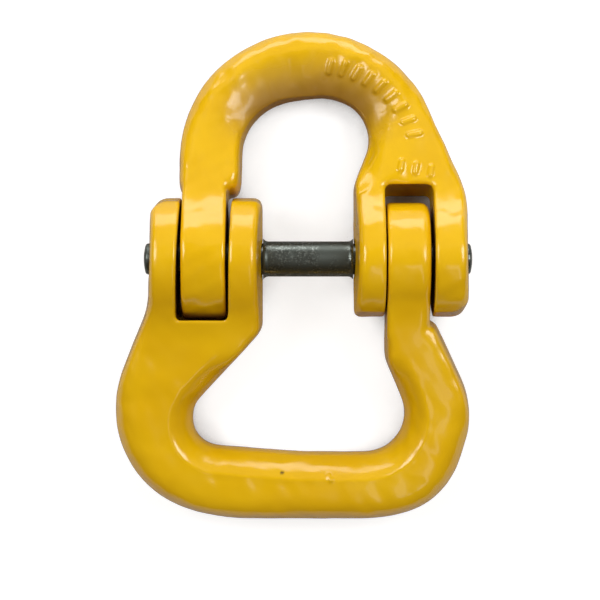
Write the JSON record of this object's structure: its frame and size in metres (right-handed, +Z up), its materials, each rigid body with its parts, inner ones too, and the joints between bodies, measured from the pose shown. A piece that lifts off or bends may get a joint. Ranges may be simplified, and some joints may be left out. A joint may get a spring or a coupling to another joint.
{
  "type": "connecting link",
  "caption": "Forged lifting-sling connecting link: a round bow half and a wide webbing half interleave on a load pin and fold about it.",
  "frame": {"origin": "centre of the bounding box's base, on the surface that the link lies on", "axes": "+X along the load pin, +Y along the link towards its round half, +Z up"},
  "size_m": [0.1216, 0.1674, 0.0426],
  "materials": {
    "bow_paint": "thick glossy golden-yellow paint with orange peel over a lumpy forging",
    "web_paint": "thick glossy golden-yellow paint with orange peel over a lumpy forging",
    "pin_steel": "dark phosphated steel, lightly oiled",
    "sleeve_steel": "dark phosphated steel, lightly oiled",
    "spring_steel": "blued spring steel"
  },
  "bodies": {
    "bow": {"bow_half": "bow_paint"},
    "web": {"web_half": "web_paint"},
    "pin": {"load_pin": "pin_steel", "pin_sleeve": "sleeve_steel", "grip_spring": "spring_steel"}
  },
  "joints": [
    {"name": "web_hinge", "type": "hinge", "parent": "bow", "child": "web", "pos_m": [0.00502, 0.00528, 0.0213], "axis": [1, 0, 0], "range_deg": [-127, 95]},
    {"name": "pin_spin", "type": "hinge", "parent": "bow", "child": "pin", "pos_m": [0.00502, 0.00528, 0.0213], "axis": [1, 0, 0], "continuous": true}
  ]
}
